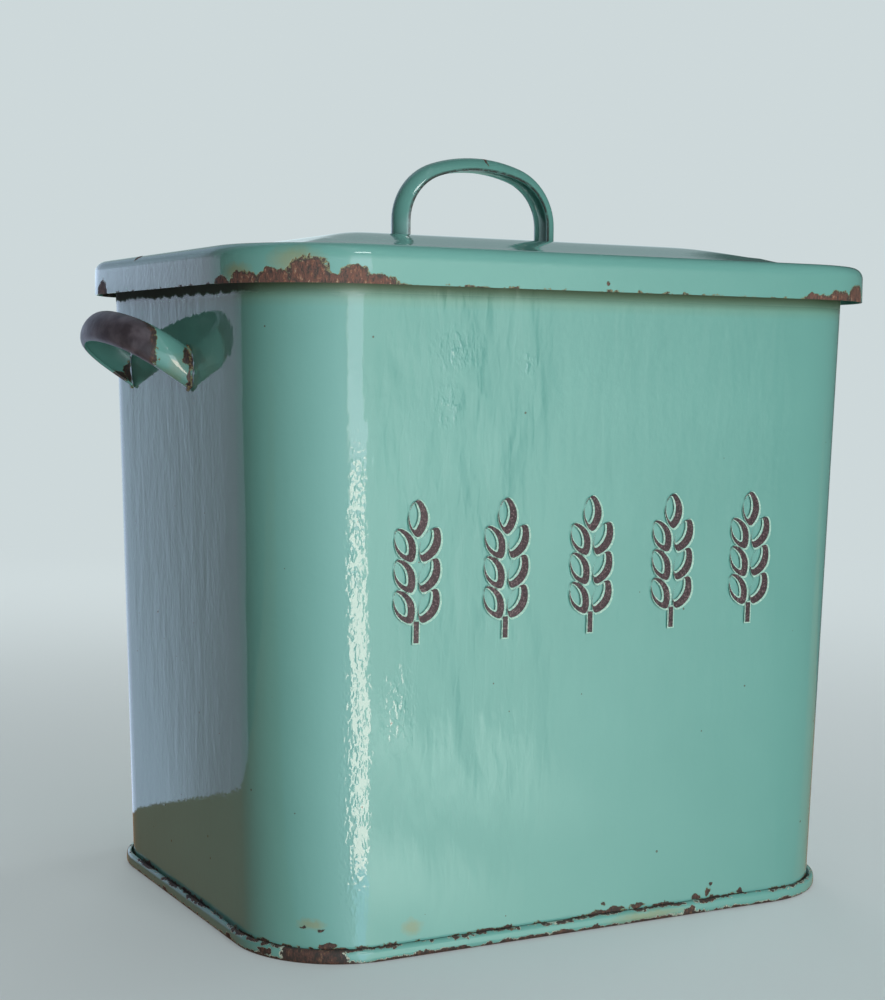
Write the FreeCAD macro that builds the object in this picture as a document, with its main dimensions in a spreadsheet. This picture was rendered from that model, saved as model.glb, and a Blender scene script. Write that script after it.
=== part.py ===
"""Bread bin with a lift-off lid, in vitreous enamelled sheet steel.

The frame of the model: +X runs along the front from left to right, +Y from the front to the back
and +Z up. The origin lies in the middle of the bin's footprint, on the surface that it stands on.

The bin is a tapered wall of sheet with round corners. Its mouth is curled outwards over a wire, and
its bottom edge is hooked into the edge of the base pan, which makes the bead round the foot. A
bowed channel handle is butt-welded to each end. The lid is one pressing: a skirt, a round edge, a
flat rim and a raised panel with soft shoulders, with a third channel handle welded on top. It hangs
on the bin's rim and lifts straight off.
"""
import FreeCAD, Part
import math
import os
import Sketcher

Vector = FreeCAD.Vector

DRIVING_SIZES = {
    # The bin's wall, outside.
    "rim_width": 305.7,
    "rim_depth": 232.0,
    "base_width": 289.0,
    "base_depth": 223.7,
    "corner_radius": 44.5,
    "wall_height": 288.4,
    "sheet": 0.8,
    # The curled rim and its wire.
    "wire_diameter": 4.0,
    "wire_gap": 0.05,
    "curl_sweep": 270.0,
    # The hooked seam round the foot, and the base pan.
    "seam_height": 6.0,
    "seam_gap": 0.05,
    "seam_chamfer": 0.8,
    "foot_width": 9.0,
    "pan_rise": 3.0,
    "pan_step": 7.0,
    # The lid.
    "lid_clearance": 3.0,
    "lid_rest_gap": 0.3,
    "lid_skirt": 15.9,
    "lid_edge_radius": 5.0,
    "panel_inset": 19.0,
    "panel_shoulder": 64.0,
    "panel_rise": 10.2,
    "panel_foot_radius": 31.0,
    "panel_top_radius": 4.0,
    # The lid's handle.
    "handle_sheet": 1.1,
    "lid_handle_span": 87.0,
    "lid_handle_height": 40.9,
    "lid_handle_width": 12.5,
    "lid_handle_depth": 6.4,
    "lid_handle_corner": 29.0,
    "lid_handle_crown": 75.0,
    # The end handles; their feet are a drop below the rim.
    "end_handle_span": 84.0,
    "end_handle_reach": 43.0,
    "end_handle_width": 15.3,
    "end_handle_depth": 5.0,
    "end_handle_corner": 29.0,
    "end_handle_crown": 60.0,
    "end_handle_tilt": 33.0,
    "end_handle_drop": 55.4,
    "end_handle_setback": 17.0,
    "end_handle_leg_stock": 14.0,
}

# Small bends and soft shoulders are drawn in flats: this many in each.
WIRE_FLAT_COUNT = 6
CURL_FLAT_COUNT = 6
CURL_INSIDE_FLAT_COUNT = 6
CHANNEL_FLAT_COUNT = 6
CHANNEL_INSIDE_FLAT_COUNT = 3
LID_BEND_FLAT_COUNT = 4
SHOULDER_FLAT_COUNT = 8
SHOULDER_INSIDE_FLAT_COUNT = 5

DOC = FreeCAD.newDocument("BreadBin")


class Size:
    """A number and the spreadsheet formula that gives it, so that one sum makes both."""

    def __init__(self, value, formula=None):
        self.value = float(value)
        self.formula = repr(self.value) if formula is None else formula

    def joined(self, sign, other, value):
        return Size(value, f"({self.formula} {sign} {other.formula})")

    def __add__(self, other):
        other = as_size(other)
        return self.joined("+", other, self.value + other.value)

    def __sub__(self, other):
        other = as_size(other)
        return self.joined("-", other, self.value - other.value)

    def __mul__(self, other):
        other = as_size(other)
        return self.joined("*", other, self.value * other.value)

    def __truediv__(self, other):
        other = as_size(other)
        return self.joined("/", other, self.value / other.value)

    def __neg__(self):
        return Size(-self.value, f"(-1 * {self.formula})")

    __radd__ = __add__
    __rmul__ = __mul__

    def __rsub__(self, other):
        return as_size(other) - self


def as_size(number):
    return number if isinstance(number, Size) else Size(number)


def cosine(degrees):
    degrees = as_size(degrees)
    return Size(math.cos(math.radians(degrees.value)), f"cos({degrees.formula})")


def sine(degrees):
    degrees = as_size(degrees)
    return Size(math.sin(math.radians(degrees.value)), f"sin({degrees.formula})")


def larger(first, second):
    value = max(first.value, second.value)
    return Size(value, f"max({first.formula}; {second.formula})")


def write_sheet():
    """Puts the driving sizes in the spreadsheet and returns them by name."""
    sheet = DOC.addObject("Spreadsheet::Sheet", "Sizes")
    for row, (name, value) in enumerate(DRIVING_SIZES.items(), start=1):
        sheet.set(f"A{row}", name)
        sheet.set(f"B{row}", str(value))
        sheet.setAlias(f"B{row}", name)
    DOC.recompute()
    return {name: Size(value, f"Sizes.{name}") for name, value in DRIVING_SIZES.items()}


S = write_sheet()

# Sizes that follow from the driving ones.
WIRE_SPACE = S["wire_diameter"] / 2 + S["wire_gap"]
CURL_RADIUS = WIRE_SPACE + S["sheet"]
CURL_REACH = WIRE_SPACE + CURL_RADIUS
LID_OVERHANG = CURL_REACH + S["lid_clearance"] + S["sheet"]
LID_HEIGHT = S["wall_height"] + CURL_RADIUS + S["lid_rest_gap"] + S["sheet"] - S["lid_skirt"]
PANEL_TOP = LID_HEIGHT + S["lid_skirt"] + S["panel_rise"]
HOOK_PITCH = S["sheet"] + S["seam_gap"]
TAPER_START = S["seam_height"] + S["seam_gap"]


# ---------------------------------------------------------------------------------------------
# Sketches


def new_body(label):
    body = DOC.addObject("PartDesign::Body", label)
    body.Label = label
    return body


def sketch_on(body, name, role, height=None):
    """A sketch on one of the body's own origin planes, or at a height above it."""
    plane = next(item for item in body.Origin.OriginFeatures if item.Role == role)
    sketch = body.newObject("Sketcher::SketchObject", name)
    sketch.AttachmentSupport = (plane, [""])
    sketch.MapMode = "FlatFace"
    if height is not None:
        sketch.setExpression("AttachmentOffset.Base.z", height.formula)
    return sketch


def dimension(sketch, kind, places, size, name):
    """Adds one dimension to the sketch and binds it to the sheet."""
    index = sketch.addConstraint(Sketcher.Constraint(kind, *places, size.value))
    sketch.renameConstraint(index, name)
    sketch.setExpression(f"Constraints.{name}", size.formula)


def rounded_outline(body, name, width, depth, radius, height):
    """The plan of the bin at one height: a rectangle with round corners, centred on the origin."""
    sketch = sketch_on(body, name, "XY_Plane", height)
    half_width = width.value / 2
    half_depth = depth.value / 2
    corner = radius.value
    right = half_width - corner
    back = half_depth - corner
    quarter = math.pi / 2

    def line(start, end):
        return Part.LineSegment(Vector(*start, 0), Vector(*end, 0))

    def arc(centre, quadrant):
        circle = Part.Circle(Vector(*centre, 0), Vector(0, 0, 1), corner)
        return Part.ArcOfCircle(circle, quadrant * quarter, (quadrant + 1) * quarter)

    sketch.addGeometry([
        line((-right, -half_depth), (right, -half_depth)), arc((right, -back), 3),
        line((half_width, -back), (half_width, back)), arc((right, back), 0),
        line((right, half_depth), (-right, half_depth)), arc((-right, back), 1),
        line((-half_width, back), (-half_width, -back)), arc((-right, -back), 2),
    ], False)
    front_line, right_line, back_line, left_line = 0, 2, 4, 6
    rules = [Sketcher.Constraint("Tangent", edge, 2, (edge + 1) % 8, 1) for edge in range(8)]
    rules += [Sketcher.Constraint("Equal", 1, edge) for edge in (3, 5, 7)]
    rules += [Sketcher.Constraint("Horizontal", edge) for edge in (front_line, back_line)]
    rules += [Sketcher.Constraint("Vertical", edge) for edge in (right_line, left_line)]
    sketch.addConstraint(rules)
    dimension(sketch, "Radius", (1,), radius, "corner")
    dimension(sketch, "DistanceY", (front_line, 1, -1, 1), depth / 2, "front")
    dimension(sketch, "DistanceY", (-1, 1, back_line, 1), depth / 2, "back")
    dimension(sketch, "DistanceX", (-1, 1, right_line, 1), width / 2, "right")
    dimension(sketch, "DistanceX", (left_line, 1, -1, 1), width / 2, "left")
    return sketch


def section(sketch, corners):
    """Draws a closed section of straight edges, each corner bound to the sheet."""
    points = [Vector(across.value, up.value, 0) for across, up in corners]
    count = len(points)
    edges = [Part.LineSegment(points[i], points[(i + 1) % count]) for i in range(count)]
    sketch.addGeometry(edges, False)
    joins = [Sketcher.Constraint("Coincident", i, 2, (i + 1) % count, 1) for i in range(count)]
    sketch.addConstraint(joins)
    for i, (across, up) in enumerate(corners):
        dimension(sketch, "DistanceX", (-1, 1, i, 1), across, f"across_{i}")
        dimension(sketch, "DistanceY", (-1, 1, i, 1), up, f"up_{i}")


def bend(centre, radii, start, sweep, flats):
    """Points along an elliptical bend drawn in flats; angles in degrees, counter-clockwise."""
    across, up = centre
    points = []
    for i in range(flats + 1):
        angle = start + as_size(sweep) * (i / flats)
        points.append((across + radii[0] * cosine(angle), up + radii[1] * sine(angle)))
    return points


# ---------------------------------------------------------------------------------------------
# Features


def loft(body, name, kind, outlines):
    """Adds or takes away the form that runs straight from each outline to the next."""
    feature = body.newObject(f"PartDesign::{kind}Loft", name)
    feature.Profile = outlines[0]
    feature.Sections = outlines[1:]
    feature.Ruled = True
    return feature


def sweep_round(body, name, profile, path):
    """Carries a section along a path sketch."""
    DOC.recompute()
    feature = body.newObject("PartDesign::AdditivePipe", name)
    feature.Profile = profile
    feature.Spine = (path, [f"Edge{i + 1}" for i in range(len(path.Shape.Edges))])
    return feature


def wall_outline(body, name, height, width, depth, offset):
    return rounded_outline(body, name, width + 2 * offset, depth + 2 * offset,
                           S["corner_radius"] + offset, height)


def rim_outline(body, name, height, offset):
    return wall_outline(body, name, height, S["rim_width"], S["rim_depth"], offset)


def foot_outline(body, name, height, offset):
    return wall_outline(body, name, height, S["base_width"], S["base_depth"], offset)


def front_section(body, name, depth, corners):
    """A section across the middle of the front, each corner given outwards from its face and up."""
    sketch = sketch_on(body, name, "YZ_Plane")
    section(sketch, [(-(depth / 2) - outwards, up) for outwards, up in corners])
    return sketch


# ---------------------------------------------------------------------------------------------
# The bin


def wall_envelope():
    """The space inside the outer face of the wall, which the end handles' feet are cut to."""
    body = new_body("wall_envelope")
    foot = foot_outline(body, "EnvelopeFoot", TAPER_START, as_size(0))
    rim = rim_outline(body, "EnvelopeRim", S["wall_height"], as_size(0))
    loft(body, "Envelope", "Additive", [foot, rim])
    return body


def body_shell():
    """The tapered wall with its curled rim above and its outward hook below."""
    body = new_body("body_shell")
    sheet = S["sheet"]
    none = as_size(0)

    outside = [foot_outline(body, "WallFoot", TAPER_START, none),
               rim_outline(body, "WallRim", S["wall_height"], none)]
    inside = [foot_outline(body, "InsideFoot", TAPER_START, -sheet),
              rim_outline(body, "InsideRim", S["wall_height"], -sheet)]
    loft(body, "Wall", "Additive", outside)
    loft(body, "Inside", "Subtractive", inside)

    # The curl starts level with the wire's middle, on the wall, and goes over, out and under.
    start = 180 - S["curl_sweep"]
    centre = (WIRE_SPACE, S["wall_height"])
    outer = bend(centre, (CURL_RADIUS, CURL_RADIUS), start, S["curl_sweep"], CURL_FLAT_COUNT)
    clear = WIRE_SPACE / cosine(S["curl_sweep"] / (2 * CURL_INSIDE_FLAT_COUNT))
    inner = bend(centre, (clear, clear), start, S["curl_sweep"], CURL_INSIDE_FLAT_COUNT)
    curl = front_section(body, "CurlSection", S["rim_depth"], outer + inner[::-1])
    rim_path = rim_outline(body, "CurlPath", S["wall_height"], none)
    sweep_round(body, "Curl", curl, rim_path)

    # Below the taper the sheet drops straight, turns out under the pan's hook and back up.
    floor = HOOK_PITCH
    flange_out = 2 * HOOK_PITCH
    flange_in = flange_out - sheet
    flange_top = S["seam_height"] - HOOK_PITCH
    hook = front_section(body, "HookSection", S["base_depth"], [
        (-sheet, TAPER_START), (-sheet, floor), (flange_out, floor), (flange_out, flange_top),
        (flange_in, flange_top), (flange_in, floor + sheet), (none, floor + sheet),
        (none, TAPER_START)])
    foot_path = foot_outline(body, "HookPath", TAPER_START, none)
    sweep_round(body, "Hook", hook, foot_path)
    return body


def rim_wire():
    """The wire that stiffens the mouth, lying in the curl."""
    body = new_body("rim_wire")
    radius = S["wire_diameter"] / 2
    ring = bend((WIRE_SPACE, S["wall_height"]), (radius, radius), 0, 360, WIRE_FLAT_COUNT)[:-1]
    profile = front_section(body, "WireSection", S["rim_depth"], ring)
    path = rim_outline(body, "WirePath", S["wall_height"], as_size(0))
    sweep_round(body, "Wire", profile, path)
    return body


def base_pan():
    """The bottom: a flat foot, a raised middle, and an edge folded up and over the wall's hook."""
    body = new_body("base_pan")
    sheet = S["sheet"]
    gap = S["seam_gap"]
    foot = S["foot_width"]
    chamfer = S["seam_chamfer"]
    top = S["seam_height"]
    bead = 3 * HOOK_PITCH
    hook_end = 2 * HOOK_PITCH + sheet / 2
    fold = front_section(body, "FoldSection", S["base_depth"], [
        (-foot, as_size(0)), (bead - chamfer, as_size(0)), (bead, chamfer), (bead, top - chamfer),
        (bead - chamfer, top), (gap + chamfer / 2, top), (gap, top - chamfer / 2),
        (gap, hook_end), (HOOK_PITCH, hook_end), (HOOK_PITCH, top - sheet),
        (bead - sheet, top - sheet), (bead - sheet, sheet), (-foot, sheet)])
    path = foot_outline(body, "FoldPath", TAPER_START, as_size(0))
    sweep_round(body, "Fold", fold, path)

    # The middle is pressed up as one step, so its underside is the same form one sheet lower.
    overlap = foot - sheet
    narrow = foot + S["pan_step"]
    raised = S["pan_rise"] + sheet
    loft(body, "RaisedMiddle", "Additive", [
        foot_outline(body, "MiddleFoot", as_size(0), -overlap),
        foot_outline(body, "MiddleTop", raised, -narrow)])
    loft(body, "UnderMiddle", "Subtractive", [
        foot_outline(body, "UnderFoot", -sheet, -overlap),
        foot_outline(body, "UnderTop", S["pan_rise"], -narrow)])
    return body


# ---------------------------------------------------------------------------------------------
# The lid, drawn from the lower edge of its skirt


def lid_outline(body, name, height, offset):
    return rim_outline(body, name, height, LID_OVERHANG + offset)


def skirt_outlines(body, name, inwards):
    """The skirt and its bend in to the flat rim, a distance inwards from the lid's outside."""
    radius = S["lid_edge_radius"] - inwards
    centre = (-S["lid_edge_radius"], S["lid_skirt"] - S["lid_edge_radius"])
    turn = bend(centre, (radius, radius), 0, 90, LID_BEND_FLAT_COUNT)
    return [lid_outline(body, f"{name}{i}", height, offset)
            for i, (offset, height) in enumerate([(-inwards, as_size(0))] + turn)]


def panel_outlines(body, name, drop, flats):
    """The raised panel's plan at several heights, from its foot to its flat top, in an S-curve."""
    outlines = []
    for i in range(flats + 1):
        share = i / flats
        rise = share * share * (3 - 2 * share)
        inset = S["panel_inset"] + S["panel_shoulder"] * share
        grow = 2 * (LID_OVERHANG - inset)
        radius = larger(S["panel_foot_radius"] - S["panel_shoulder"] * share, S["panel_top_radius"])
        height = S["lid_skirt"] - drop + S["panel_rise"] * rise
        outlines.append(rounded_outline(body, f"{name}{i}", S["rim_width"] + grow,
                                        S["rim_depth"] + grow, radius, height))
    return outlines


def lid_shell():
    """The pressed lid: skirt, round edge, flat rim and raised panel, in one sheet."""
    body = new_body("lid_shell")
    loft(body, "Skirt", "Additive", skirt_outlines(body, "SkirtOutside", as_size(0)))
    loft(body, "Hollow", "Subtractive", skirt_outlines(body, "SkirtInside", S["sheet"]))
    loft(body, "Panel", "Additive",
         panel_outlines(body, "PanelOutside", as_size(0), SHOULDER_FLAT_COUNT))
    loft(body, "PanelHollow", "Subtractive",
         panel_outlines(body, "PanelInside", S["sheet"], SHOULDER_INSIDE_FLAT_COUNT))
    body.setExpression("Placement.Base.z", LID_HEIGHT.formula)
    return body


# ---------------------------------------------------------------------------------------------
# The channel handles, drawn with their feet on the XY plane and the span along Y


def arch_path(body, name, half_span, rise, corner, crown, stock):
    """A leg, a corner, a flatter crown, and the same again: the line that the channel follows."""
    sketch = sketch_on(body, name, "YZ_Plane")
    across = half_span.value - corner.value
    crown_centre = rise.value - crown.value
    up = crown_centre + math.sqrt((crown.value - corner.value) ** 2 - across ** 2)
    slope = math.atan2(up - crown_centre, across)
    foot = -stock.value

    def arc(centre, radius, start, end):
        circle = Part.Circle(Vector(*centre, 0), Vector(0, 0, 1), radius)
        return Part.ArcOfCircle(circle, start, end)

    sketch.addGeometry([
        Part.LineSegment(Vector(-half_span.value, foot, 0), Vector(-half_span.value, up, 0)),
        arc((-across, up), corner.value, math.pi - slope, math.pi),
        arc((0, crown_centre), crown.value, slope, math.pi - slope),
        arc((across, up), corner.value, 0, slope),
        Part.LineSegment(Vector(half_span.value, up, 0), Vector(half_span.value, foot, 0)),
    ], False)
    left_leg, left_corner, crown_arc, right_corner, right_leg = range(5)
    sketch.addConstraint([
        Sketcher.Constraint("Tangent", left_leg, 2, left_corner, 2),
        Sketcher.Constraint("Tangent", left_corner, 1, crown_arc, 2),
        Sketcher.Constraint("Tangent", crown_arc, 1, right_corner, 2),
        Sketcher.Constraint("Tangent", right_corner, 1, right_leg, 1),
        Sketcher.Constraint("Equal", left_corner, right_corner),
        Sketcher.Constraint("Vertical", left_leg),
        Sketcher.Constraint("Vertical", right_leg),
        Sketcher.Constraint("PointOnObject", crown_arc, 3, -2),
    ])
    dimension(sketch, "DistanceX", (left_leg, 1, -1, 1), half_span, "half_span")
    dimension(sketch, "DistanceY", (left_leg, 1, -1, 1), stock, "left_stock")
    dimension(sketch, "DistanceY", (right_leg, 2, -1, 1), stock, "right_stock")
    dimension(sketch, "Radius", (left_corner,), corner, "corner")
    dimension(sketch, "Radius", (crown_arc,), crown, "crown")
    dimension(sketch, "DistanceY", (-1, 1, crown_arc, 3), rise - crown, "crown_centre")
    return sketch


def channel_handle(label, part, stock):
    """A bowed channel: a shallow half-round of sheet, open towards the hand's side of the arch."""
    body = new_body(label)
    depth = S[f"{part}_depth"]
    half_width = S[f"{part}_width"] / 2
    half_span = S[f"{part}_span"] / 2 - depth
    rise = S["lid_handle_height"] if part == "lid_handle" else S["end_handle_reach"]
    sheet = S["handle_sheet"]
    path = arch_path(body, f"{label}_path", half_span, rise - depth,
                     S[f"{part}_corner"] - depth, S[f"{part}_crown"] - depth, stock)
    centre = (as_size(0), -half_span)
    outer = bend(centre, (half_width, depth), 180, 180, CHANNEL_FLAT_COUNT)
    inner = bend(centre, (half_width - sheet, depth - sheet), 180, 180, CHANNEL_INSIDE_FLAT_COUNT)
    profile = sketch_on(body, f"{label}_section", "XY_Plane", -stock)
    section(profile, outer + inner[::-1])
    sweep_round(body, f"{label}_channel", profile, path)
    return body


def lid_handle():
    """The lid's handle, its feet on the flat top of the raised panel, its span along X."""
    body = channel_handle("lid_handle", "lid_handle", as_size(0))
    body.Placement = FreeCAD.Placement(Vector(0, 0, 0), FreeCAD.Rotation(Vector(0, 0, 1), 90))
    body.setExpression("Placement.Base.z", PANEL_TOP.formula)
    return body


def end_handles(envelope):
    """The two end handles, tilted up from the wall and cut to sit on its outer face."""
    blank = channel_handle("end_handle_blank", "end_handle", S["end_handle_leg_stock"])
    tilt = S["end_handle_tilt"]
    height = S["wall_height"] - S["end_handle_drop"]
    share = (height - TAPER_START) / (S["wall_height"] - TAPER_START)
    half_width = (S["base_width"] + (S["rim_width"] - S["base_width"]) * share) / 2
    middle = S["end_handle_width"] / 2
    blank.Placement = FreeCAD.Placement(Vector(0, 0, 0),
                                        FreeCAD.Rotation(Vector(0, 1, 0), tilt.value - 90))
    blank.setExpression("Placement.Base.x", (-half_width + middle * sine(tilt)).formula)
    blank.setExpression("Placement.Base.y", S["end_handle_setback"].formula)
    blank.setExpression("Placement.Base.z", (height + middle * cosine(tilt)).formula)
    blank.setExpression("Placement.Rotation.Angle", (tilt - 90).formula)

    left = DOC.addObject("Part::Cut", "left_handle")
    left.Label = "left_handle"
    left.Base = blank
    left.Tool = envelope
    right = DOC.addObject("Part::Mirroring", "right_handle")
    right.Label = "right_handle"
    right.Source = left
    right.Normal = Vector(1, 0, 0)
    return [left, right]


# ---------------------------------------------------------------------------------------------
# The whole bin


def check(parts):
    """Stops if an object failed to build or a sub-part is not one sound solid."""
    for item in DOC.Objects:
        if "Invalid" in item.State or "Error" in item.State:
            raise RuntimeError(f"{item.Label} failed: {item.State}")
    for item in parts:
        shape = item.Shape
        if shape.isNull() or not shape.isValid() or len(shape.Solids) != 1:
            raise RuntimeError(f"{item.Label} is not one valid solid")
        print(f"{item.Label}: {shape.Volume / 1000:.2f} cm3, {len(shape.Faces)} faces")


def main():
    envelope = wall_envelope()
    parts = [body_shell(), rim_wire(), base_pan(), lid_shell(), lid_handle()]
    parts += end_handles(envelope)
    DOC.recompute()
    check(parts)
    os.makedirs("parts", exist_ok=True)
    for item in parts:
        item.Shape.exportStep(f"parts/{item.Label}.step")


main()
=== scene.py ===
import math

import bmesh
import bpy
from mathutils import Matrix, Vector, noise


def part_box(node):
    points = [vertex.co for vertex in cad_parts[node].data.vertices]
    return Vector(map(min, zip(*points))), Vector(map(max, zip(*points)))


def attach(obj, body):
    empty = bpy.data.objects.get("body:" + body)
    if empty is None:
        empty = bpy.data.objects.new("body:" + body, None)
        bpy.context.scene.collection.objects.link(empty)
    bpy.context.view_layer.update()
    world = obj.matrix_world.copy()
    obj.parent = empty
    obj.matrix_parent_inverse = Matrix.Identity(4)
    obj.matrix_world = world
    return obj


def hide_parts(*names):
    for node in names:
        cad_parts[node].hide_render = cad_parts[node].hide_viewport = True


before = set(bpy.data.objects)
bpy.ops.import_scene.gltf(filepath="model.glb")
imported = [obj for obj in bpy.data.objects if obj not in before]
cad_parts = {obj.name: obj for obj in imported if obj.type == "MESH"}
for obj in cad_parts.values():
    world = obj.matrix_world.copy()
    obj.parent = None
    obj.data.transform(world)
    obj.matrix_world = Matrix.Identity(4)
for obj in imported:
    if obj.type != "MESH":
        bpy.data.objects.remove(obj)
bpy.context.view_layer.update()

bl_info = {
    "name": "Enamelled bread bin",
    "version": (1, 0, 0),
    "blender": (4, 5, 0),
    "location": "3D View > Sidebar > Bread bin",
    "description": "Builds the pieces and finishes of an enamelled bread bin with a lift-off lid",
    "category": "Add Mesh",
}

MM = 0.001

# Verts closer than this are one.
MERGE = 0.01 * MM
# Steps of the wall's, the base's and the lid's outline, round a corner and along a side.
CORNER_STEPS, SIDE_STEPS = 20, 12

# Where the front is dented and its glass ran most, as centres and radii in millimetres.
RUNS = [((-68, -113, 215), (50, 60, 125)), ((-64, -113, 85), (48, 60, 110))]

# Enamel is a borosilicate glass.
GLASS_IOR = 1.55
# Wear that takes the jade coat, from its first thinning on, and wear that takes the coat below.
JADE_GONE, GROUND_GONE = (0.19, 0.23), (0.3, 0.38)

# How much brighter the room in the gloss is than its colours are written.
ROOM_LIGHT = 6.4
# The most that the gloss shows of the window's far panes, and of the table in the bin's shade.
SKY_PANES, BIN_SHADE = (0.74, 0.81, 0.87, 1), (0.4, 0.56, 0.68, 1)


# ---------------------------------------------------------------------------------------------
# Settings


def length(name, description, millimetres):
    return bpy.props.FloatProperty(name=name, description=description, unit="LENGTH",
                                   precision=5, min=0.0, default=millimetres * MM)


def angle(name, description, degrees):
    return bpy.props.FloatProperty(name=name, description=description, unit="ROTATION",
                                   default=math.radians(degrees))


def linear(code):
    """The linear colour of an sRGB hex code."""
    channels = [int(code[i:i + 2], 16) / 255 for i in (1, 3, 5)]
    return tuple(c / 12.92 if c <= 0.04045 else ((c + 0.055) / 1.055) ** 2.4
                 for c in channels) + (1.0,)


def colour(name, description, code):
    return bpy.props.FloatVectorProperty(name=name, description=description, subtype="COLOR",
                                         size=4, min=0.0, max=1.0, default=linear(code))


class SheetSettings(bpy.types.PropertyGroup):
    """Sizes of the pressed and rolled sheet."""

    sheet: length("Sheet", "Thickness of the enamelled sheet", 0.8)
    corner: length("Corner radius", "Radius of the wall's corners, outside", 44.5)
    curl: length("Curl radius", "Outer radius of the rim's curl over its wire", 2.85)
    bead: length("Bead width", "How far the foot's bead stands out from the wall", 2.55)
    bead_round: length("Bead rounding", "Radius of the foot bead's outer edges", 1.9)
    foot_ring: length("Foot ring", "Width of the flat ring that the bin stands on", 9.0)
    pan_rise: length("Pan rise", "How far the middle of the bottom is raised", 3.0)
    pan_step: length("Pan step", "Width of the slope up to the raised middle", 7.0)
    skirt: length("Lid skirt", "Height of the lid's skirt with its round edge", 15.9)
    lid_round: length("Lid edge radius", "Radius of the bend from the skirt to the flat rim", 5.0)
    overhang: length("Lid overhang", "How far the lid stands out from the wall", 8.7)
    panel_inset: length("Panel inset", "From the lid's edge in to the foot of its panel", 19.0)
    panel_shoulder: length("Panel shoulder", "Width of the panel's sloping sides", 64.0)
    panel_corner: length("Panel corner", "Corner radius of the foot of the panel", 31.0)


class HandleSettings(bpy.types.PropertyGroup):
    """Sizes of one bowed channel handle."""

    span: length("Span", "Outside width over both legs", 84.0)
    reach: length("Reach", "From the feet to the outside of the crown", 43.0)
    width: length("Width", "Across the channel", 15.3)
    depth: length("Depth", "Depth of the channel", 5.0)
    corner: length("Corner radius", "Outside radius of the two corners", 29.0)
    crown: length("Crown radius", "Outside radius of the flatter crown", 60.0)
    sheet: length("Sheet", "Thickness of the handle's sheet", 1.1)
    tilt: angle("Tilt", "How far the handle rises outwards from level", 33.0)
    setback: length("Setback", "From the middle of the end towards the back", 17.0)


class OrnamentSettings(bpy.types.PropertyGroup):
    """The row of wheat ears on the front."""

    ears: bpy.props.IntProperty(name="Ears", description="How many ears stand in the row",
                                default=5, min=1, max=9)
    spacing: length("Spacing", "From one ear to the next", 42.0)
    middle: length("Middle height", "Height of the middle of the row", 159.0)
    grain_width: length("Grain width", "Half the width of one grain", 4.5)
    grain_length: length("Grain length", "Half the length of one grain", 7.6)
    shadow: length("Shadow", "Half the width of the shadow stroke beside a grain", 1.9)


class FinishSettings(bpy.types.PropertyGroup):
    """Colours of the enamel, and of what shows where it is chipped."""

    jade: colour("Jade", "Fired top coat", "#669f97")
    # Painted shade: the lid handle's jade is darker to stand in for its darker reflections and
    # shade.
    shaded_jade: colour("Deep jade", "Enamel of the lid's handle, fired a little darker", "#578880")
    pale_jade: colour("Pale jade", "Thicker, lighter clouds in the top coat", "#6ea79f")
    ground: colour("Ground coat", "Dark first coat at the edge of a chip", "#33302e")
    halo: colour("Halo", "Thin stained glass round a chip", "#8f8c62")
    rust: colour("Rust", "Old brown rust", "#5f443c")
    bright_rust: colour("Bright rust", "Fresher, lighter rust", "#7d523c")
    fleck: colour("Fleck", "Pale flecks of glass left in the rust", "#a49c8b")
    bare: colour("Bare steel", "Handle worn through to dark steel", "#3a3439")
    rubbed: colour("Rubbed steel", "Bare steel where hands keep it bright", "#6a646b")
    ink: colour("Ornament", "Darkest tone of the ornament", "#362c30")
    backdrop: colour("Backdrop", "Pale floor and backdrop", "#d2dddf")


class ViewSettings(bpy.types.PropertyGroup):
    """The camera's place and aim."""

    place: bpy.props.FloatVectorProperty(
        name="Place", description="Where the camera stands", subtype="TRANSLATION",
        unit="LENGTH", precision=5, default=(-0.43542, -0.79067, 0.24419))
    heading: angle("Heading", "Turn of the view to the right of straight back", 27.995)
    dip: angle("Dip", "How far the view looks down", 4.062)
    roll: angle("Roll", "Turn of the frame about the view's line", 0.733)
    focal: bpy.props.FloatProperty(
        name="Focal length", description="Focal length as a share of the frame's height",
        default=1.8747)


class BreadBinSettings(bpy.types.PropertyGroup):
    """Everything that a user would change."""

    sheet: bpy.props.PointerProperty(type=SheetSettings)
    lid_handle: bpy.props.PointerProperty(type=HandleSettings)
    end_handle: bpy.props.PointerProperty(type=HandleSettings)
    ornament: bpy.props.PointerProperty(type=OrnamentSettings)
    finish: bpy.props.PointerProperty(type=FinishSettings)
    view: bpy.props.PointerProperty(type=ViewSettings)


# ---------------------------------------------------------------------------------------------
# Mesh helpers


def arc(centre, radii, start, sweep, steps):
    """Points along an elliptical arc, angles in degrees."""
    points = []
    for i in range(steps + 1):
        at = math.radians(start + sweep * i / steps)
        points.append((centre[0] + radii[0] * math.cos(at), centre[1] + radii[1] * math.sin(at)))
    return points


def levels(first, last, steps):
    """Evenly spaced values, both ends among them."""
    return [first + (last - first) * i / steps for i in range(steps + 1)]


def chain(bm, points):
    """A line of edges through points."""
    verts = [bm.verts.new(point) for point in points]
    return verts + [bm.edges.new(pair) for pair in zip(verts, verts[1:])]


def carry(bm, geom, way, steps):
    """Extrudes geom along way in equal steps, and gives what lies at its end."""
    return bmesh.ops.spin(bm, geom=geom, cent=(0, 0, 0), axis=(0, 0, 1), dvec=way / steps,
                          angle=0, steps=steps, use_merge=False)["geom_last"]


def turn(bm, geom, centre, axis, sweep, steps):
    """Extrudes geom round an axis, and gives what lies at its end."""
    return bmesh.ops.spin(bm, geom=geom, cent=centre, axis=axis, angle=sweep, steps=steps,
                          use_merge=False)["geom_last"]


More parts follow.
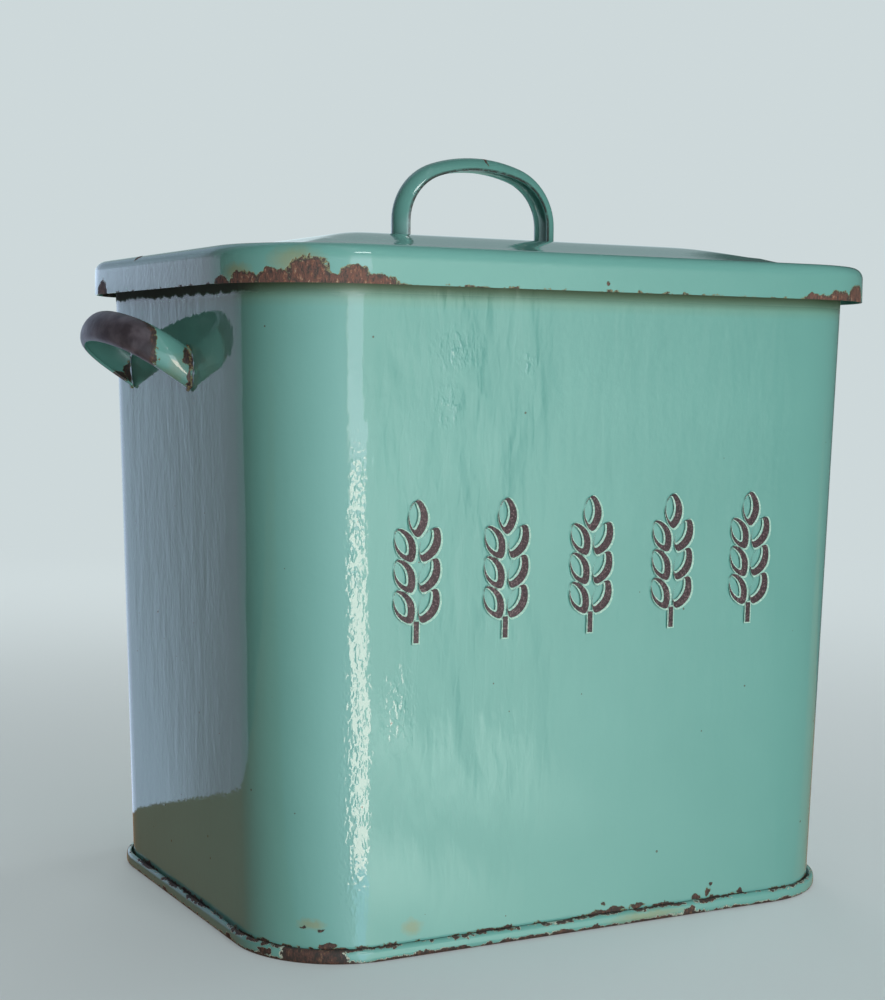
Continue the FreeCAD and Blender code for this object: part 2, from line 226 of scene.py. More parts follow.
def sweep_outline(bm, section, core):
    """Carries a section once round a rectangle with round corners.

    core holds the place of the back right corner's centre, and the section's points are given
    outwards from the rectangle of the four centres, and up.
    """
    geom = chain(bm, [(-core.x, -core.y - out, up) for out, up in section])
    way = Vector((2 * core.x, 0, 0))
    across = Vector((0, 2 * core.y, 0))
    for centre in ((core.x, -core.y), (core.x, core.y), (-core.x, core.y), (-core.x, -core.y)):
        geom = carry(bm, geom, way, SIDE_STEPS)
        geom = turn(bm, geom, (*centre, 0), (0, 0, 1), math.pi / 2, CORNER_STEPS)
        way, across = across, -way
    clean(bm)


def clean(bm):
    """Merges doubled verts and turns the faces to one side."""
    bmesh.ops.remove_doubles(bm, verts=bm.verts, dist=MERGE)
    bmesh.ops.recalc_face_normals(bm, faces=bm.faces)


def limit(value, least, most):
    return min(max(value, least), most)


def lean(bm, core, spread, low, high):
    """Leans the walls outwards with height; the round corners keep their radius."""
    for vert in bm.verts:
        share = limit((vert.co.z - low) / (high - low), 0.0, 1.0)
        vert.co.x += spread.x * share * limit(vert.co.x / core.x, -1.0, 1.0)
        vert.co.y += spread.y * share * limit(vert.co.y / core.y, -1.0, 1.0)


def thicken(bm, thickness):
    """Gives a sheet its thickness, on the side away from its normals where it is positive."""
    bmesh.ops.solidify(bm, geom=bm.faces[:], thickness=thickness)


def open_loop(bm, height):
    """The open edges at a height."""
    return [edge for edge in bm.edges if edge.is_boundary
            and all(abs(vert.co.z - height) < MERGE for vert in edge.verts)]


def piece(name, bm, body, material, replaces=(), smooth=40):
    """Makes the finished object, in place, from a bmesh; edges sharper than smooth stay sharp."""
    mesh = bpy.data.meshes.new(name)
    bm.to_mesh(mesh)
    bm.free()
    for polygon in mesh.polygons:
        polygon.use_smooth = True
    mesh.set_sharp_from_angle(angle=math.radians(smooth))
    obj = bpy.data.objects.new(name, mesh)
    bpy.context.scene.collection.objects.link(obj)
    mesh.materials.append(material)
    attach(obj, body)
    if replaces:
        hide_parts(*replaces)
    return obj


def weld(name, points, radius, body, material):
    """A lumpy bead of weld along a line of points."""
    curve = bpy.data.curves.new(name, "CURVE")
    curve.dimensions = "3D"
    curve.bevel_depth = radius
    curve.bevel_resolution = 3
    curve.use_fill_caps = True
    line = curve.splines.new("POLY")
    line.points.add(len(points) - 1)
    for point, place in zip(line.points, points):
        point.co = (*place, 1.0)
    path = bpy.data.objects.new(name, curve)
    bm = bmesh.new()
    bm.from_mesh(bpy.data.meshes.new_from_object(path))
    bpy.data.objects.remove(path)
    clean(bm)
    bm.normal_update()
    for vert in bm.verts:
        vert.co += vert.normal * radius * 0.8 * noise.noise(vert.co * per(2.4))
    return piece(name, bm, body, material, smooth=80)


# ---------------------------------------------------------------------------------------------
# Materials


def per(millimetres):
    """How many cells of this size a pattern has in a metre."""
    return 1 / (millimetres * MM)


def give(node, key, source):
    """Gives a node's input a value, a socket, or another node's first output in use."""
    if isinstance(source, bpy.types.Node):
        source = next(socket for socket in source.outputs if socket.enabled)
    if isinstance(source, bpy.types.NodeSocket):
        node.id_data.links.new(source, node.inputs[key])
    else:
        node.inputs[key].default_value = source


def fill(node, *inputs, **settings):
    """Sets a node's inputs in their order, then its own properties and other inputs by name.

    A name has underscores for spaces, and _6 is the input numbered 6. span is the range that a
    Map Range reads and the one that it gives, and stops fill a colour ramp.
    """
    for key, value in (*enumerate(inputs), *settings.items()):
        if key == "span":
            for name, bound in zip(("From Min", "From Max", "To Min", "To Max"), value):
                node.inputs[name].default_value = bound
        elif key == "stops":
            ramp = node.color_ramp.elements
            for i, (place, shade) in enumerate(value):
                stop = ramp[i] if i < 2 else ramp.new(place)
                stop.position, stop.color = place, shade
        elif isinstance(key, int):
            give(node, key, value)
        elif hasattr(node, key):
            setattr(node, key, value)
        else:
            give(node, int(key[1:]) if key[0] == "_" else key.replace("_", " "), value)
    return node


def add(tree, kind, *inputs, **settings):
    """Adds a node, with its operation first among its inputs where it has one.

    A Mix node mixes colours.
    """
    node = tree.nodes.new("ShaderNode" + kind)
    if kind == "Mix":
        node.data_type = "RGBA"
    if inputs and isinstance(inputs[0], str):
        node.operation, *inputs = inputs
    return fill(node, *inputs, **settings)


def new_material(name):
    """A new material with its nodes' tree, its shader and the place on the object."""
    material = bpy.data.materials.new(name)
    material.use_nodes = True
    tree = material.node_tree
    tree.nodes.clear()
    shader = add(tree, "BsdfPrincipled")
    add(tree, "OutputMaterial", Surface=shader)
    return material, tree, shader, add(tree, "TexCoord").outputs["Object"]


def patches(tree, place, spots):
    """Round fields that rise from 0 at their edges to 1 in the middle, the highest one at a place.

    Each spot is a centre and three radii in millimetres.
    """
    field = None
    for centre, radii in spots:
        scale = [per(radius) for radius in radii]
        shift = [-c * MM * s for c, s in zip(centre, scale)]
        local = add(tree, "Mapping", place, Scale=scale, Location=shift)
        spot = add(tree, "TexGradient", local, gradient_type="SPHERICAL")
        field = spot if field is None else add(tree, "Math", "MAXIMUM", field, spot)
    return field


def torn(tree, place, size, reach):
    """The coordinates pushed about by noise, so that what is drawn on them has ragged edges."""
    rough = add(tree, "TexNoise", place, Scale=per(size), Detail=5.0, Roughness=0.65)
    centred = add(tree, "VectorMath", "SUBTRACT", rough.outputs["Color"], (0.5, 0.5, 0.5))
    push = add(tree, "VectorMath", "SCALE", centred, Scale=reach * MM)
    return add(tree, "VectorMath", "ADD", place, push)


def glass_waves(tree, place, runs, blisters=(), flow=1.0):
    """Height of the fired glass in millimetres: a fine orange peel, ripples, runs and dents.

    Each wave is its width, its height, its depth, and the least share of it that is kept
    outside runs, the fields where the sheet is dented and the glass ran most. blisters are
    fields of small lumps that each catch the window, and flow scales the waves.
    """
    peel = add(tree, "TexNoise", place, Scale=per(2.6), Detail=1.0)
    height = add(tree, "Math", "MULTIPLY", peel, 0.03)
    field = patches(tree, place, runs) if runs else None
    for wide, tall, depth, least in ((3.2, 12, 0.17, 0.16), (9, 34, 0.6, 0.14),
                                     (30, 75, 2.2, 0.03)):
        depth *= flow
        cells = add(tree, "Mapping", place, Scale=(per(wide), per(wide), per(tall)))
        wave = add(tree, "TexNoise", cells, Scale=1.0, Detail=1.0, Distortion=0.5)
        wave = add(tree, "Math", "SUBTRACT", wave, 0.5)
        wave = add(tree, "Math", "MULTIPLY", wave, least * depth)
        if field:
            strength = add(tree, "MapRange", field, span=(0, 0.45, least * depth, depth))
            fill(wave, _1=strength)
        height = add(tree, "Math", "ADD", height, wave)
    if blisters:
        cells = add(tree, "Mapping", place, Scale=(per(1.8), per(1.8), per(3.2)))
        grit = add(tree, "TexNoise", cells, Scale=1.0, Detail=1.0)
        lump = add(tree, "MapRange", grit, span=(0.45, 0.8, 0, 0.24))
        lump = add(tree, "Math", "MULTIPLY", lump, patches(tree, place, blisters))
        height = add(tree, "Math", "ADD", height, lump)
    return height


def fired_coat(tree, place, finish, shades, stains):
    """The jade coat, in thicker and thinner clouds, with old stains and grit fired into it."""
    clouds = add(tree, "TexNoise", place, Scale=per(55), Detail=3.0)
    dark, pale = shades or (finish.jade, finish.pale_jade)
    coat = add(tree, "Mix", clouds, _6=dark, _7=pale)
    if stains:
        spread = patches(tree, torn(tree, place, 5, 5), stains)
        amount = add(tree, "MapRange", spread, span=(0.1, 0.7, 0, 0.55))
        coat = add(tree, "Mix", amount, _6=coat, _7=linear("#8d8a5c"))
    # Pinholes are dots under a millimetre, some way apart.
    dots = add(tree, "TexVoronoi", place, Scale=per(12))
    size = add(tree, "SeparateColor", dots.outputs["Color"])
    reach = add(tree, "Math", "MULTIPLY", size, 0.05)
    pinhole = add(tree, "Math", "LESS_THAN", dots, reach)
    return add(tree, "Mix", pinhole, _6=coat, _7=linear("#55665c"))


def wear(tree, place, ragged, speckle, outside, spots, bands, grip):
    """How far the glass is worn, from 0 where it is whole.

    Fields with torn edges are roughened by a speckle that also scatters small chips near them.
    """
    damage = patches(tree, ragged, spots)
    for edge, end, least, worst in bands:
        height = add(tree, "SeparateXYZ", ragged).outputs["Z"]
        near = add(tree, "MapRange", height, span=(end * MM, edge * MM))
        knocks = add(tree, "TexNoise", place, Scale=per(14), Detail=3.0)
        often = add(tree, "MapRange", knocks, span=(0.38, 0.62, least, worst))
        edge_wear = add(tree, "Math", "MULTIPLY", near, often)
        edge_wear = add(tree, "Math", "MULTIPLY", edge_wear, outside)
        damage = add(tree, "Math", "MAXIMUM", damage, edge_wear)
    if grip:
        damage = add(tree, "Math", "MAXIMUM", damage, grip)
    spread = add(tree, "MapRange", speckle, span=(0.3, 0.7, -0.11, 0.11))
    some = add(tree, "MapRange", damage, span=(0.02, 0.2))
    spread = add(tree, "Math", "MULTIPLY", spread, some)
    return add(tree, "Math", "ADD", damage, spread)


def bared(tree, place, finish, worn, rust_cloud, grip, halo, rusted):
    """What shows where the glass is gone: a stained edge, the ground coat, then rust or steel."""
    tones = [(0.45, finish.ground), (0.74, finish.halo), (0.6, finish.rust)]
    if rusted:
        tones = [(0.42, finish.ground), (0.67, finish.fleck), (0.48, finish.rust),
                 (0.56, finish.rust), (0.6, finish.bright_rust)]
    under = add(tree, "ValToRGB", rust_cloud, stops=tones)
    if grip:
        cloud = add(tree, "TexNoise", place, Scale=per(7), Detail=4.0)
        shine = add(tree, "MapRange", cloud, span=(0.4, 0.8))
        steel = add(tree, "Mix", shine, _6=finish.bare, _7=finish.rubbed)
        inner = add(tree, "MapRange", grip, span=(0.5, 0.62))
        under = add(tree, "Mix", inner, _6=under, _7=steel)
    edge = (0.24, halo) if halo else (0.215, finish.halo)
    layers = add(tree, "ValToRGB", worn,
                 stops=[edge, (0.36, finish.ground), (0.28, finish.ground)])
    deep = add(tree, "MapRange", worn, span=GROUND_GONE)
    return add(tree, "Mix", deep, _6=layers, _7=under)


def skirt_dirt_and_shade(tree, place, outside, grime_and_shade, surface, dull):
    """Painted shade under the lid's skirt, with dirt gathered there: a faint film, a dark seam,
    and more at the ends.

    grime_and_shade is the two heights in millimetres between which the shade and dirt at the ends
    set in. It gives the surface's colour and roughness with the shade and dirt on them.
    """
    low, high = grime_and_shade
    height = add(tree, "SeparateXYZ", place).outputs["Z"]
    # All of it ends short of the curled rim. It is painted shade under the lid's skirt, with dirt:
    # the seam of painted shade is darkest where the skirt ends.
    below_rim = add(tree, "MapRange", height, span=((high + 9) * MM, (high + 5) * MM))
    where = add(tree, "Math", "MULTIPLY", outside, below_rim)
    film_and_shade = add(tree, "MapRange", height, span=((low - 6) * MM, (high + 3) * MM, 0, 0.6))
    film_and_shade = add(tree, "Math", "MULTIPLY", film_and_shade, where)
    seam_shade = add(tree, "MapRange", height, interpolation_type="SMOOTHSTEP",
               span=((high - 4) * MM, (high + 2.6) * MM, 0, 0.9))
    covered = add(tree, "MapRange", height, span=((high + 7) * MM, (high + 3.5) * MM))
    seam_shade = add(tree, "Math", "MULTIPLY", seam_shade, covered)
    seam_shade = add(tree, "Math", "MULTIPLY", seam_shade, outside)
    # Darker painted shade, with dirt, on the ends under the lid's overhang.
    axes = add(tree, "SeparateXYZ", torn(tree, place, 7, 7)).outputs
    end_dirt_and_shade = add(tree, "MapRange", axes["Z"], span=(low * MM, high * MM))
    from_middle = add(tree, "Math", "ABSOLUTE", axes["X"])
    most = add(tree, "MapRange", from_middle, span=(146 * MM, 151 * MM, 0, 0.96))
    end_dirt_and_shade = add(tree, "Math", "MULTIPLY", end_dirt_and_shade, most)
    end_dirt_and_shade = add(tree, "Math", "MULTIPLY", end_dirt_and_shade, where)
    # Olive film, dark seam and dark ends: painted shade under the lid's skirt, with dirt there.
    for code, amount in (("#6f7c46", film_and_shade), ("#26331f", seam_shade), ("#2b3228", end_dirt_and_shade)):
        surface = add(tree, "Mix", amount, _6=surface, _7=linear(code))
    for amount, rougher in ((seam_shade, 0.6), (end_dirt_and_shade, 0.9)):
        dull = add(tree, "Math", "MULTIPLY_ADD", amount, rougher, dull)
    return surface, dull


def enamel(name, finish, spots, bands=(), stains=(), runs=(), grime_and_shade=None, lips=None,
           rubbed=None, halo=None, blisters=(), rusted=True, shades=None, flow=1.0):
    """Vitreous enamel, sprayed and fired on pressed steel, with an age's worth of knocks.

    It is opaque jade glass with a wet gloss, an orange peel a few millimetres across and long
    soft runs. Where it is chipped the edge is stained, then the dark ground coat shows, then
    rust, or steel that has only gone dark where rusted is false. bands are (height of an edge in
    mm, height where its wear ends, least wear, worst wear), and lips and rubbed are functions
    that give a field of wear each. runs, blisters and flow go to glass_waves, and grime_and_shade
    goes to skirt_dirt_and_shade, which paints shade under the lid's skirt, with dirt there. halo
    is another colour for a chip's edge, and shades are the coat's two tones.
    """
    material, tree, shader, place = new_material(name)
    ragged = torn(tree, place, 5, 6)
    speckle = add(tree, "TexNoise", place, Scale=per(1.8), Detail=3.0, Roughness=0.7)
    # Edges wear, and dirt and painted shade under the lid gather, outside only, where a face
    # looks away from the middle.
    facing = add(tree, "VectorMath", "DOT_PRODUCT", place,
                 add(tree, "NewGeometry").outputs["Normal"])
    outside = add(tree, "Math", "GREATER_THAN", facing, 20 * MM)
    grip = rubbed(tree, ragged) if rubbed else None
    worn = wear(tree, place, ragged, speckle, outside, spots, bands, grip)
    strokes = add(tree, "Mapping", place, Scale=(per(1.5), per(1.5), per(3.6)))
    rust_cloud = add(tree, "TexNoise", strokes, Scale=1.0, Detail=4.0, Roughness=0.8)
    chipped = add(tree, "MapRange", worn, span=JADE_GONE)
    surface = add(tree, "Mix", chipped, _6=fired_coat(tree, place, finish, shades, stains),
                  _7=bared(tree, place, finish, worn, rust_cloud, grip, halo, rusted))
    if lips:
        # The glass draws thin over a sheared edge, so the ground coat shows through as a line.
        broken = add(tree, "MapRange", speckle, span=(0.35, 0.5, 0.45, 0.95))
        thin = add(tree, "Math", "MULTIPLY", lips(tree, place), broken)
        surface = add(tree, "Mix", thin, _6=surface, _7=finish.ground)
    dull = add(tree, "MapRange", worn, span=(0.2, 0.3, 0.035, 0.45 if grip else 0.7))
    # Painted shade and dirt under the lid's skirt.
    if grime_and_shade:
        surface, dull = skirt_dirt_and_shade(tree, place, outside, grime_and_shade, surface, dull)
    # The glass is a fifth of a millimetre thick, and the rust in a chip is pitted.
    pits = add(tree, "Math", "MULTIPLY_ADD", rust_cloud, 0.2, -0.25)
    recess = add(tree, "Math", "MULTIPLY", pits, chipped)
    height = add(tree, "Math", "ADD", recess, glass_waves(tree, place, runs, blisters, flow))
    relief = add(tree, "Bump", Strength=1.0, Distance=MM, Height=height)
    fill(shader, Base_Color=surface, Roughness=dull, Normal=relief, IOR=GLASS_IOR)
    return material


def lip_wear(tree, across, half_width):
    """Thin glass along the lips of a channel, from the distance to the middle of its width."""
    span = (half_width - 0.18 * MM, half_width - 0.06 * MM)
    return add(tree, "MapRange", add(tree, "Math", "ABSOLUTE", across), span=span)


def worn_handle_enamel(finish, sizes, middle):
    """Enamel rubbed through on the outside of the grip, where hands took hold of it."""

    def outwards(tree, place):
        axes = add(tree, "SeparateXYZ", place)
        return axes, add(tree, "Math", "ABSOLUTE", axes.outputs["X"])

    def lips(tree, place):
        axes, out = outwards(tree, place)
        left = add(tree, "Math", "MULTIPLY", out, -1.0)
        moved = add(tree, "CombineXYZ", left, axes.outputs["Z"])
        from_middle = add(tree, "VectorMath", "SUBTRACT", moved, (middle.x, middle.z, 0))
        way = (math.sin(sizes.tilt), math.cos(sizes.tilt), 0)
        across = add(tree, "VectorMath", "DOT_PRODUCT", from_middle, way)
        return lip_wear(tree, across, sizes.width / 2)

    def rubbed(tree, place):
        out = outwards(tree, place)[1]
        reach = add(tree, "MapRange", out, span=(164.5 * MM, 172.0 * MM))
        hub = (0, 17 * MM, 238 * MM)
        from_hub = add(tree, "VectorMath", "SUBTRACT", place, hub)
        outside = add(tree, "VectorMath", "DOT_PRODUCT", from_hub,
                      add(tree, "NewGeometry").outputs["Normal"])
        facing = add(tree, "MapRange", outside, span=(0, 12 * MM))
        return add(tree, "Math", "MULTIPLY", reach, facing)

    spots = []
    for side in (-1, 1):
        spots += [((side * 153, -24, 247), (4, 4, 5)), ((side * 151.5, -23, 238), (2.4, 3, 9)),
                  ((side * 152, 58, 240), (3, 4, 7)), ((side * 158, 54, 238), (7, 5, 3))]
    stains = [((side * 157, y, 243), (7, 8, 9)) for side in (-1, 1) for y in (-20, 50)]
    return enamel("worn_jade_enamel", finish, spots, stains=stains, lips=lips, rubbed=rubbed,
                  rusted=False, flow=0.35)


def rusty_weld(finish):
    # Gas-weld bead under thin enamel: lumpy, with yellow and brown rust in its hollows.
    material, tree, shader, place = new_material("enamelled_weld_bead")
    lumps = add(tree, "TexNoise", place, Scale=per(3.0), Detail=5.0, Roughness=0.7)
    shades = add(tree, "ValToRGB", lumps, stops=[(0.42, finish.ground), (0.64, finish.jade),
                                                 (0.48, finish.rust), (0.53, finish.halo)])
    dull = add(tree, "MapRange", lumps, span=(0.45, 0.65, 0.7, 0.2))
    relief = add(tree, "Bump", Strength=1.0, Distance=0.3 * MM, Height=lumps)
    fill(shader, Base_Color=shades, Roughness=dull, Normal=relief, IOR=GLASS_IOR)
    return material


def drawn_steel_wire():
    # Drawn mild steel wire: grey metal gone dull and patchy with age.
    material, tree, shader, place = new_material("drawn_steel_wire")
    tarnish = add(tree, "TexNoise", place, Scale=per(6), Detail=5.0)
    shades = add(tree, "ValToRGB", tarnish,
                 stops=[(0.35, linear("#6d6a68")), (0.7, linear("#8b7363"))])
    dull = add(tree, "MapRange", tarnish, span=(0, 1, 0.35, 0.65))
    fill(shader, Base_Color=shades, Roughness=dull, Metallic=1.0)
    return material


def ornament_enamel(name, dark, middle, dust):
    """A second enamel, stencilled over the jade and fired again: thin, satin, a little dusty."""
    material, tree, shader, place = new_material(name)
    # The speckle is grit under a millimetre across, drawn a little coarse so that it shows.
    grain = add(tree, "TexNoise", place, Scale=per(0.9), Detail=2.0, Roughness=0.8)
    shades = add(tree, "ValToRGB", grain, stops=[(0.42, dark), (0.68, dust), (0.55, middle)])
    relief = add(tree, "Bump", Strength=1.0, Distance=MM, Height=glass_waves(tree, place, RUNS))
    # Underfired, so its gloss is weaker and broader than that of the jade below it.
    fill(shader, Base_Color=shades, Normal=relief, Roughness=0.45, IOR=1.35)
    return material


# ---------------------------------------------------------------------------------------------
# The bin


def wall_at(height, axis, foot, high, sheet):
    """Half the wall's outside width at a height, along X (0) or Y (1), and the wall's slope.

    foot and high are the upper corners of the base pan's box and of the wall's box.
    """
    base = foot[axis] - sheet.bead
    rim = high[axis] - 2 * sheet.curl + sheet.sheet
    slope = (rim - base) / (high.z - sheet.curl - foot.z)
    return base + slope * (height - foot.z), slope


class BREADBIN_OT_wall(bpy.types.Operator):
    """Rolled wall with its curled rim"""

    bl_idname = "breadbin.wall"
    bl_label = "Wall"

    def execute(self, context):
        sizes = context.scene.bread_bin.sheet
        low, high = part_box("body_shell")
        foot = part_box("base_pan")[1]
        inner = sizes.corner - sizes.sheet
        wire_space = sizes.curl - sizes.sheet
        rim_height = high.z - sizes.curl
        core = Vector((foot.x - sizes.bead - sizes.corner, foot.y - sizes.bead - sizes.corner))
        reach = sizes.curl + wire_space
        spread = Vector((high.x - reach - sizes.corner, high.y - reach - sizes.corner)) - core
        section = [(inner, z) for z in levels(low.z, rim_height, 24)][:-1]
        section += arc((inner + sizes.curl, rim_height), (sizes.curl, sizes.curl), 180, -270, 18)
        bm = bmesh.new()
        sweep_outline(bm, section, core)
        lean(bm, core, spread, foot.z, rim_height)
        thicken(bm, -sizes.sheet)
        finish = context.scene.bread_bin.finish
        knocks = [((12, -112, 6.6), (10, 4, 1.7)), ((26, -112, 7.4), (6, 4, 1.7)),
                  ((8, -112, 10.5), (1.3, 3, 1.4)), ((40, -112, 6.2), (9, 4, 1.1)),
                  ((58, -112, 7), (4, 4, 1.7)), ((64, -112, 9), (2.6, 4, 2.3)),
                  ((66, -112, 12), (1.2, 4, 1.0)), ((82, -112, 6.8), (2.2, 4, 1.5)),
                  ((-122, -106, 6.8), (5, 5, 1.3)), ((-130, -100, 15), (1.0, 3, 0.9)),
                  ((-124, -104, 14), (1.8, 3, 0.8)), ((-153, -24, 236), (3, 5, 12)),
                  ((-153, 58, 236), (3, 5, 9)), ((-150, 30, 130), (3, 2, 3))]
        stains = [((-86, -112, 12), (7, 5, 5)), ((-128, -102, 16), (9, 8, 3)),
                  ((-153, -24, 230), (3, 7, 10))]
        blisters = [((-70, -115, 251), (17, 30, 12)), ((-74, -115, 229), (9, 30, 13)),
                    ((-37, -115, 246), (7, 30, 7)), ((-94, -113, 105), (11, 30, 26)),
                    ((-112, -112, 78), (9, 30, 92)), ((-114, -112, 165), (6, 30, 60))]
        # grime_and_shade paints shade and dirt under the lid's skirt on this wall.
        jade = enamel("jade_enamel_wall", finish, knocks, bands=[(5.6, 7.2, 0.12, 0.5)],
                      stains=stains, grime_and_shade=(273.2, 274.2), runs=RUNS, rusted=False,
                      blisters=blisters)
        piece("enamelled_wall", bm, "bin", jade, ["body_shell"])
        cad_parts["rim_wire"].material_slots[0].material = drawn_steel_wire()
        return {"FINISHED"}


class BREADBIN_OT_base(bpy.types.Operator):
    """Base pan with the bead that hooks it to the wall"""

    bl_idname = "breadbin.base"
    bl_label = "Base pan"

    def execute(self, context):
        sizes = context.scene.bread_bin.sheet
        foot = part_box("base_pan")[1]
        out = sizes.corner + sizes.bead
        round_edge = sizes.bead_round
        ring = sizes.corner - sizes.foot_ring
        core = Vector((foot.x - out, foot.y - out))
        section = [(ring, 0.0)]
        section += arc((out - round_edge, round_edge), (round_edge, round_edge), -90, 90, 6)
        section += arc((out - round_edge, foot.z - round_edge), (round_edge, round_edge), 0, 90, 6)
        section += [(sizes.corner + 0.3 * MM, foot.z - 0.3 * MM),
                    (sizes.corner + 0.1 * MM, sizes.sheet), (ring, sizes.sheet)]
        bm = bmesh.new()
        sweep_outline(bm, section, core)
        # Both faces of the bottom, with their middle raised.
        for height in (0.0, sizes.sheet):
            cap = bmesh.ops.contextual_create(bm, geom=open_loop(bm, height))["faces"]
            bmesh.ops.inset_region(bm, faces=cap, thickness=sizes.pan_step)
            bmesh.ops.translate(bm, verts=cap[0].verts, vec=(0, 0, sizes.pan_rise))
        bmesh.ops.recalc_face_normals(bm, faces=bm.faces)
        knocks = [((-134, -102.5, 3), (12, 11, 14)), ((-124, -109, 2.5), (12, 9, 13)),
                  ((-82, -114.5, 0.8), (8, 3, 2.4)), ((-66, -114.5, 0.8), (8, 3, 2)),
                  ((-48, -114.5, 0.6), (9, 3, 1.8)), ((-30, -114.5, 0.8), (8, 3, 2)),
                  ((-12, -114.5, 1.0), (6, 3, 2)), ((2, -114.5, 0.8), (8, 3, 1.8)),
                  ((26, -114.5, 0.6), (7, 3, 1.6)), ((52, -114.5, 2.5), (5, 3, 2)),
                  ((-147, -60, 2), (3, 5, 2)), ((-147, 20, 2), (3, 4, 2)),
                  ((-142, -88, 3), (5, 5, 2))]
        material = enamel("jade_enamel_base", context.scene.bread_bin.finish, knocks,
                          bands=[(0.0, 2.6, 0.4, 0.7), (6.3, 4.9, 0.16, 0.75)],
                          halo=linear("#c4ccba"), rusted=False, flow=0.5,
                          stains=[((30, -114.5, 3), (30, 3, 3))])
        piece("base_with_bead", bm, "bin", material, ["base_pan"])
        return {"FINISHED"}


class BREADBIN_OT_lid(bpy.types.Operator):
    """Pressed lid: skirt, round edge, flat rim and raised panel"""

    bl_idname = "breadbin.lid"
    bl_label = "Lid"

    def panel_height(self, x, y, sizes, top, rise):
        """How far the sheet is raised at a place, from its distance inside the panel's foot."""
        radius = sizes.panel_corner
        out_x = abs(x) - (top.x - sizes.panel_inset - radius)
        out_y = abs(y) - (top.y - sizes.panel_inset - radius)
        soft = 7 * MM
        blend = max(soft - abs(out_x - out_y), 0.0) / soft
        nearest = max(out_x, out_y) + blend * blend * soft / 4
        inside = radius - math.hypot(max(out_x, 0.0), max(out_y, 0.0)) - min(nearest, 0.0)
        share = limit(inside / sizes.panel_shoulder, 0.0, 1.0)
        return rise * share * share * (3 - 2 * share)

    def execute(self, context):
        sizes = context.scene.bread_bin.sheet
        low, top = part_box("lid_shell")
        corner = sizes.corner + sizes.overhang
        core = Vector((top.x - corner, top.y - corner))
        rim = low.z + sizes.skirt
        bend_height = rim - sizes.lid_round
        section = [(corner, z) for z in levels(low.z, bend_height, 6)][:-1]
        section += arc((corner - sizes.lid_round, bend_height), (sizes.lid_round,) * 2, 0, 90, 8)
        flat = 12 * MM
        section.append((corner - flat, rim))
        bm = bmesh.new()
        sweep_outline(bm, section, core)
        cap = bmesh.ops.contextual_create(bm, geom=open_loop(bm, rim))["faces"]
        # The flat top is cut into squares small enough to carry the panel's soft shape.
        top_geom = set(cap) | set(cap[0].verts) | set(cap[0].edges)
        pitch = 4 * MM
        for normal, reach in ((Vector((1, 0, 0)), top.x), (Vector((0, 1, 0)), top.y)):
            cuts = round(reach / pitch)
            for i in range(-cuts, cuts + 1):
                cut = bmesh.ops.bisect_plane(bm, geom=list(top_geom), dist=MERGE / 10,
                                             plane_co=normal * (i * pitch), plane_no=normal)
                top_geom = {item for item in cut["geom"] if item.is_valid}
        for vert in bm.verts:
            if vert.co.z > rim - MERGE:
                vert.co.z += self.panel_height(vert.co.x, vert.co.y, sizes, top, top.z - rim)
        bmesh.ops.recalc_face_normals(bm, faces=bm.faces)
        thicken(bm, sizes.sheet)
        knocks = [((-160, -82, 276.5), (4, 7, 4.4)), ((-156, -95, 276.8), (9, 11, 5.8)),
                  ((-148, -107, 276.8), (11, 10, 6.2)), ((-137.5, -116, 278), (13, 10, 11.5)),
                  ((-129, -120.5, 276.3), (8, 6, 4.6)), ((-121, -123, 277.5), (9, 6, 8)),
                  ((-111, -124.7, 276.3), (12, 5, 5.2)), ((108, -124.7, 276.3), (11, 4, 3.4)),
                  ((122, -123, 276.8), (13, 7, 5.2)), ((137, -117, 278), (12, 11, 7.4)),
                  ((-161.5, 68, 277), (5, 9, 7.5)), ((-160, 22, 291.5), (4, 4, 2)),
                  ((-4, -124.7, 280), (1.2, 3, 1.1)), ((161, 60, 277), (5, 12, 5)),
                  ((60, 124.7, 277), (16, 4, 4.5)), ((-150, 112, 277), (12, 12, 6))]
        stains = [((-141, -112, 285), (16, 14, 8)), ((-158, -92, 281), (8, 12, 5))]
        material = enamel("jade_enamel_lid", context.scene.bread_bin.finish, knocks,
                          bands=[(276.45, 277.4, 0.1, 0.31)], flow=0.35, stains=stains)
        piece("pressed_lid", bm, "lid", material, ["lid_shell"])
        return {"FINISHED"}


# ---------------------------------------------------------------------------------------------
# The handles


def channel(bm, sizes, stock):
    """A bowed half-round channel, its feet at height zero and its span along Y.

    stock is how much longer its legs are left at the feet, to be cut to the wall.
    """
    half_span = sizes.span / 2 - sizes.depth
    corner = sizes.corner - sizes.depth
    crown = sizes.crown - sizes.depth
    across = half_span - corner
    crown_centre = sizes.reach - sizes.depth - crown
    up = crown_centre + math.sqrt((crown - corner) ** 2 - across ** 2)
    slope = math.atan2(up - crown_centre, across)
    section = arc((0, -half_span), (sizes.width / 2, sizes.depth), 180, 180, 16)
    geom = chain(bm, [(x, y, -stock) for x, y in section])
    geom = carry(bm, geom, Vector((0, 0, up + stock)), 6)
    geom = turn(bm, geom, (0, -across, up), (-1, 0, 0), slope, 14)
    geom = turn(bm, geom, (0, 0, crown_centre), (-1, 0, 0), math.pi - 2 * slope, 16)
    geom = turn(bm, geom, (0, across, up), (-1, 0, 0), slope, 14)
    carry(bm, geom, Vector((0, 0, -up - stock)), 6)
    bmesh.ops.recalc_face_normals(bm, faces=bm.faces)


